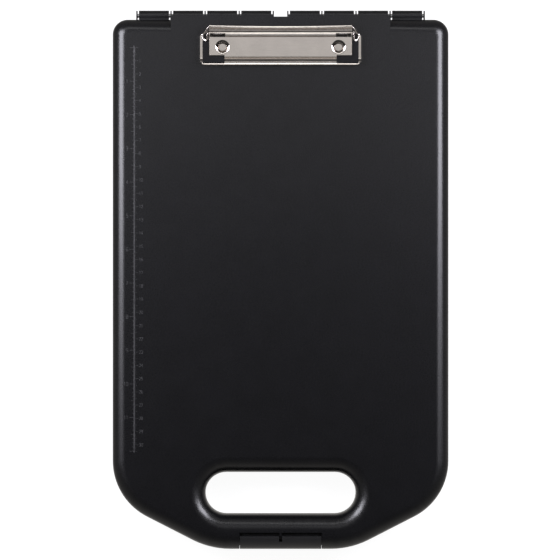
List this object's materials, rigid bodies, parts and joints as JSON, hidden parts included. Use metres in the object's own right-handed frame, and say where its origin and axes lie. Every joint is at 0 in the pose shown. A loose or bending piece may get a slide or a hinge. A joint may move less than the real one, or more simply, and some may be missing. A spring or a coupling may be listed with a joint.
{
  "type": "storage clipboard box",
  "caption": "Storage clipboard box: hinged lid on a shallow tray, through handle slot, snap latch and sprung paper clip.",
  "frame": {"origin": "middle of the footprint, on the back face that the box lies on", "axes": "+Z out of the clip face, +Y towards the hinge, +X to the right of someone reading the sheet"},
  "size_m": [0.254, 0.4074, 0.0468],
  "materials": {
    "black_plastic": "fine matt texture",
    "nickel_plate": "satin nickel plating",
    "steel_rod": "bright drawn steel",
    "black_rubber": "matt"
  },
  "bodies": {
    "tray": {"back_tray": "black_plastic", "hinge_rod_left": "steel_rod", "hinge_rod_right": "steel_rod", "latch_pin": "steel_rod"},
    "lid": {"front_lid": "black_plastic", "clip_base_plate": "nickel_plate", "clip_rod": "steel_rod", "clip_spring_left": "steel_rod", "clip_spring_right": "steel_rod", "rivet_left": "nickel_plate", "rivet_right": "nickel_plate", "rivet_washer_left": "steel_rod", "rivet_washer_right": "steel_rod"},
    "latch": {"latch": "black_plastic"},
    "jaw": {"clip_jaw": "nickel_plate", "rubber_grip_left": "black_rubber", "rubber_grip_right": "black_rubber"}
  },
  "joints": [
    {"name": "lid_hinge", "type": "hinge", "parent": "tray", "child": "lid", "pos_m": [0, 0.1997, 0.026], "axis": [-1, 0, 0], "range_deg": [0, 180]},
    {"name": "latch_pivot", "type": "hinge", "parent": "tray", "child": "latch", "pos_m": [0, -0.2008, 0.0042], "axis": [1, 0, 0], "range_deg": [0, 90]},
    {"name": "jaw_hinge", "type": "hinge", "parent": "lid", "child": "jaw", "pos_m": [0, 0.1858, 0.0426], "axis": [-1, 0, 0], "range_deg": [0, 22], "stiffness_Nm_per_rad": 0.6, "springref_deg": -20.05, "deforming": ["clip_spring_left", "clip_spring_right"]}
  ]
}
